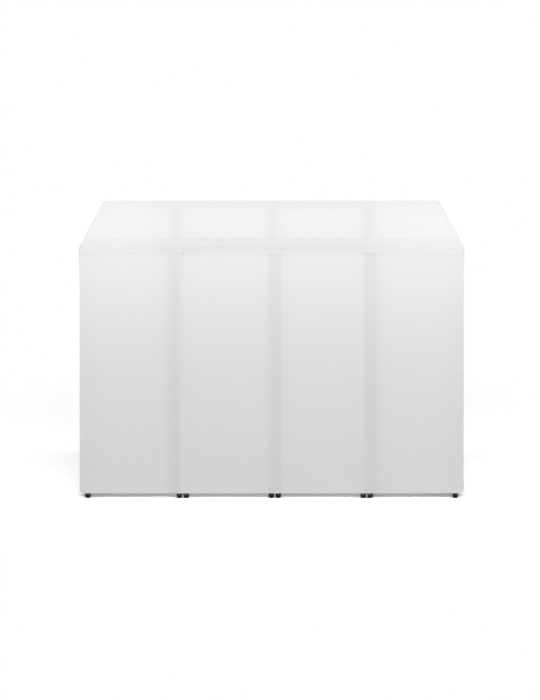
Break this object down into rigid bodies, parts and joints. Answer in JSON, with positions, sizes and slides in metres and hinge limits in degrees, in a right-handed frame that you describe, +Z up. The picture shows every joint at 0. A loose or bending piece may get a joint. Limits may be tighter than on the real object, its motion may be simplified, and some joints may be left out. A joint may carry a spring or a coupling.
{
  "type": "dj booth",
  "caption": "Folding DJ booth: hinged front frames and side wings under a white stretch cover, with a lift-off shelf top on round feet.",
  "frame": {"origin": "on the floor under the middle of the booth's box", "axes": "+X along the front to the viewer's right, +Y from the front towards the operator, +Z up"},
  "size_m": [1.4984, 0.54, 1.04],
  "materials": {
    "frame": "silver powder coat",
    "cover": "white stretch knit",
    "rubber": "matte black",
    "cap": "moulded, matte",
    "steel": "zinc plated",
    "enamel": "enamel, white beside the cover and black between the feet",
    "board": "white laminate"
  },
  "bodies": {
    "panel_2": {"front_frame_2": "frame", "front_feet_2": "rubber", "front_cap_2": "cap", "pivot_plates_panel_2": "enamel", "front_cover_2": "cover", "hinge_leaves_panel_2": "steel", "hinge_screws_panel_2": "steel", "hinge_pins_2_3": "steel", "pivot_pins_1_2": "steel"},
    "panel_1": {"front_frame_1": "frame", "front_feet_1": "rubber", "front_cap_1": "cap", "pivot_plates_panel_1": "enamel", "front_cover_1": "cover", "hinge_leaves_panel_1": "steel", "hinge_screws_panel_1": "steel", "hinge_pins_left": "steel"},
    "panel_3": {"front_frame_3": "frame", "front_feet_3": "rubber", "front_cap_3": "cap", "pivot_plates_panel_3": "enamel", "front_cover_3": "cover", "hinge_leaves_panel_3": "steel", "hinge_screws_panel_3": "steel", "pivot_pins_3_4": "steel"},
    "panel_4": {"front_frame_4": "frame", "front_feet_4": "rubber", "front_cap_4": "cap", "pivot_plates_panel_4": "enamel", "front_cover_4": "cover", "hinge_leaves_panel_4": "steel", "hinge_screws_panel_4": "steel", "hinge_pins_right": "steel"},
    "wing_left": {"wing_frame_left": "frame", "wing_foot_left": "rubber", "wing_caps_left": "cap", "wing_cover_left": "cover", "hinge_leaves_wing_left": "steel", "hinge_screws_wing_left": "steel"},
    "wing_right": {"wing_frame_right": "frame", "wing_foot_right": "rubber", "wing_caps_right": "cap", "wing_cover_right": "cover", "hinge_leaves_wing_right": "steel", "hinge_screws_wing_right": "steel"},
    "top": {"shelf_frame_1": "frame", "shelf_frame_2": "frame", "shelf_frame_3": "frame", "shelf_frame_4": "frame", "shelf_board_1": "board", "shelf_board_2": "board", "shelf_board_3": "board", "shelf_board_4": "board", "shelf_joining_plates": "steel", "locating_pegs": "steel", "top_cover": "cover"}
  },
  "joints": [
    {"name": "fold_middle", "type": "hinge", "parent": "panel_2", "child": "panel_3", "pos_m": [0.01225, -0.23, 0.515], "axis": [0, 0, 1], "range_deg": [0, 180]},
    {"name": "fold_left", "type": "hinge", "parent": "panel_2", "child": "panel_1", "pos_m": [-0.34495, -0.2655, 0.515], "axis": [0, 0, 1], "range_deg": [0, 180]},
    {"name": "fold_right", "type": "hinge", "parent": "panel_3", "child": "panel_4", "pos_m": [0.36945, -0.2655, 0.515], "axis": [0, 0, 1], "range_deg": [-180, 0]},
    {"name": "wing_left_fold", "type": "hinge", "parent": "panel_1", "child": "wing_left", "pos_m": [-0.70395, -0.23, 0.515], "axis": [0, 0, 1], "range_deg": [-79.5, 0]},
    {"name": "wing_right_fold", "type": "hinge", "parent": "panel_4", "child": "wing_right", "pos_m": [0.70395, -0.23, 0.515], "axis": [0, 0, 1], "range_deg": [0, 79.5]},
    {"name": "top_lift", "type": "slide", "parent": "panel_2", "child": "top", "axis": [0, 0, 1], "range_m": [0, 0.4]}
  ],
  "couplings": [
    {"joint": "fold_left", "follows": "fold_middle", "ratio": 1},
    {"joint": "fold_right", "follows": "fold_middle", "ratio": -1},
    {"joint": "wing_left_fold", "follows": "fold_middle", "ratio": -0.44167},
    {"joint": "wing_right_fold", "follows": "fold_middle", "ratio": 0.44167}
  ]
}
